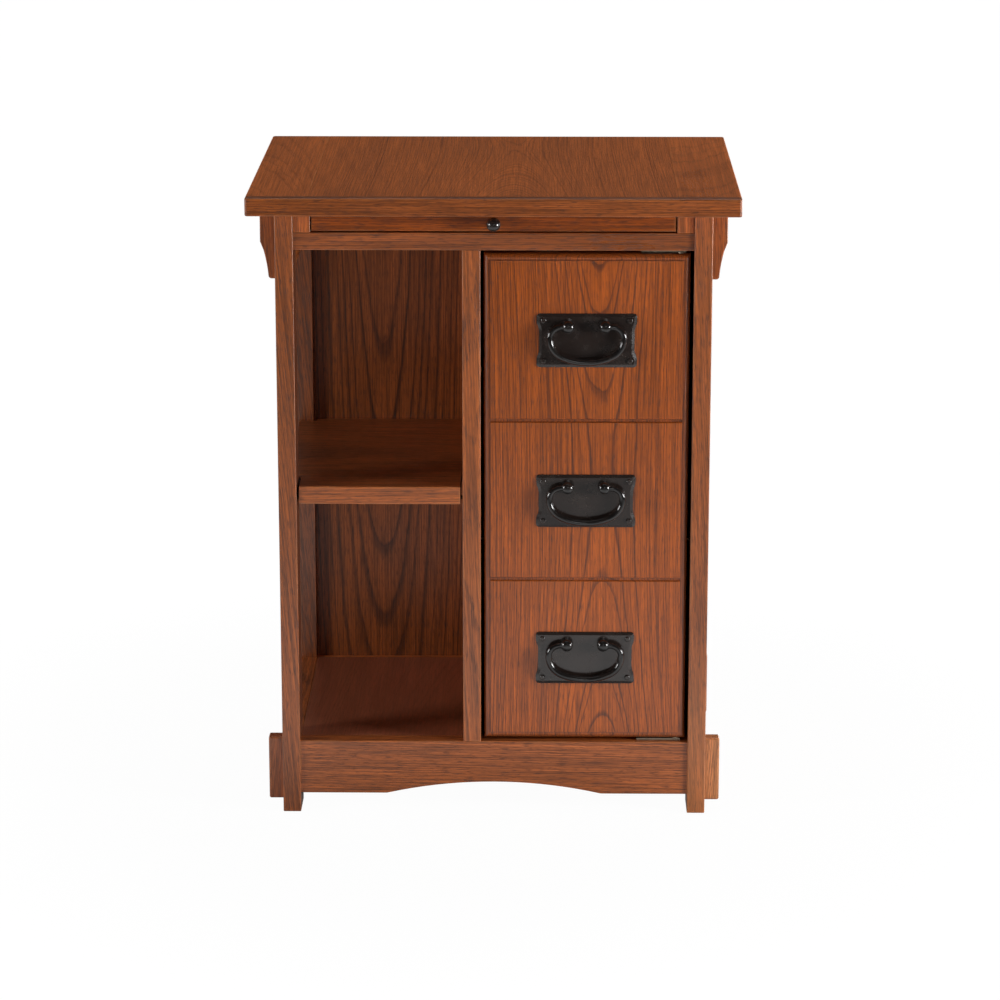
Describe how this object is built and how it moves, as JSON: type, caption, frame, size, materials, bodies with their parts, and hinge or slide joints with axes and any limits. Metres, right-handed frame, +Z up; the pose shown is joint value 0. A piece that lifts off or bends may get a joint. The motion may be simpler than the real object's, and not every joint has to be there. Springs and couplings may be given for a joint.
{
  "type": "cabinet table",
  "caption": "Small oak cabinet table: pull-out tray under the top, open shelved bay on one side, hinged cabinet door shaped like a stack of drawers with swinging bail pulls.",
  "frame": {"origin": "on the floor under the middle of the table top", "axes": "+Z up, -Y towards the front with the door and tray, +X to the door's side"},
  "size_m": [0.482, 0.38, 0.638],
  "materials": {
    "oak_top": "stained oak, satin",
    "oak_frame": "stained oak, satin",
    "oak_panel": "stained oak veneer, satin",
    "oak_tray": "stained oak, satin",
    "oak_door": "stained oak, satin",
    "inner_wood": "bare wood",
    "black_metal": "gloss black",
    "bright_steel": "plain steel",
    "catch_plastic": "moulded brown"
  },
  "bodies": {
    "frame": {"top_centre_panel": "oak_top", "top_end_left": "oak_top", "top_end_right": "oak_top", "top_front_lip": "oak_top", "leg_front_left": "oak_frame", "leg_front_right": "oak_frame", "leg_rear_left": "oak_frame", "leg_rear_right": "oak_frame", "corbel_front_left": "oak_frame", "corbel_front_right": "oak_frame", "corbel_rear_left": "oak_frame", "corbel_rear_right": "oak_frame", "foot_block_front_left": "oak_frame", "foot_block_front_right": "oak_frame", "foot_block_rear_left": "oak_frame", "foot_block_rear_right": "oak_frame", "side_top_rail_left": "oak_frame", "side_bottom_rail_left": "oak_frame", "tray_side_block_left": "oak_frame", "side_top_rail_right": "oak_frame", "side_bottom_rail_right": "oak_frame", "tray_side_block_right": "oak_frame", "front_rail": "oak_frame", "front_apron": "oak_frame", "rear_top_rail": "oak_frame", "rear_bottom_rail": "oak_frame", "centre_divider": "oak_frame", "side_panel_right": "oak_panel", "back_panel": "oak_panel", "bottom_panel": "oak_panel", "open_shelf": "oak_panel", "cabinet_shelf": "oak_panel", "dust_panel": "inner_wood", "tray_runner_left": "inner_wood", "tray_runner_right": "inner_wood", "joint_dowels": "inner_wood", "runner_screws": "bright_steel", "frame_screws": "bright_steel", "shelf_pins": "bright_steel", "pivot_plate_top": "bright_steel", "pivot_plate_bottom": "bright_steel", "magnet_catch": "catch_plastic"},
    "tray": {"tray_front": "oak_tray", "tray_panel": "oak_tray", "tray_stop": "inner_wood", "tray_knob": "black_metal", "tray_knob_stud": "bright_steel"},
    "door": {"door_panel": "oak_door", "door_leaf_top": "bright_steel", "door_leaf_bottom": "bright_steel", "door_screws": "bright_steel", "catch_strike": "bright_steel", "handle_plate_bottom": "black_metal", "handle_plate_middle": "black_metal", "handle_plate_top": "black_metal", "handle_posts": "black_metal", "handle_nails": "black_metal"},
    "bail_bottom": {"handle_bail_bottom": "black_metal"},
    "bail_middle": {"handle_bail_middle": "black_metal"},
    "bail_top": {"handle_bail_top": "black_metal"}
  },
  "joints": [
    {"name": "tray_slide", "type": "slide", "parent": "frame", "child": "tray", "axis": [0, -1, 0], "range_m": [0, 0.19]},
    {"name": "door_hinge", "type": "hinge", "parent": "frame", "child": "door", "pos_m": [0.1843, -0.1515, 0.3285], "axis": [0, 0, 1], "range_deg": [0, 100]},
    {"name": "bail_swing_bottom", "type": "hinge", "parent": "door", "child": "bail_bottom", "pos_m": [0.09175, -0.169, 0.18007], "axis": [-1, 0, 0], "range_deg": [0, 100]},
    {"name": "bail_swing_middle", "type": "hinge", "parent": "door", "child": "bail_middle", "pos_m": [0.09175, -0.169, 0.3435], "axis": [-1, 0, 0], "range_deg": [0, 100]},
    {"name": "bail_swing_top", "type": "hinge", "parent": "door", "child": "bail_top", "pos_m": [0.09175, -0.169, 0.50693], "axis": [-1, 0, 0], "range_deg": [0, 100]}
  ]
}
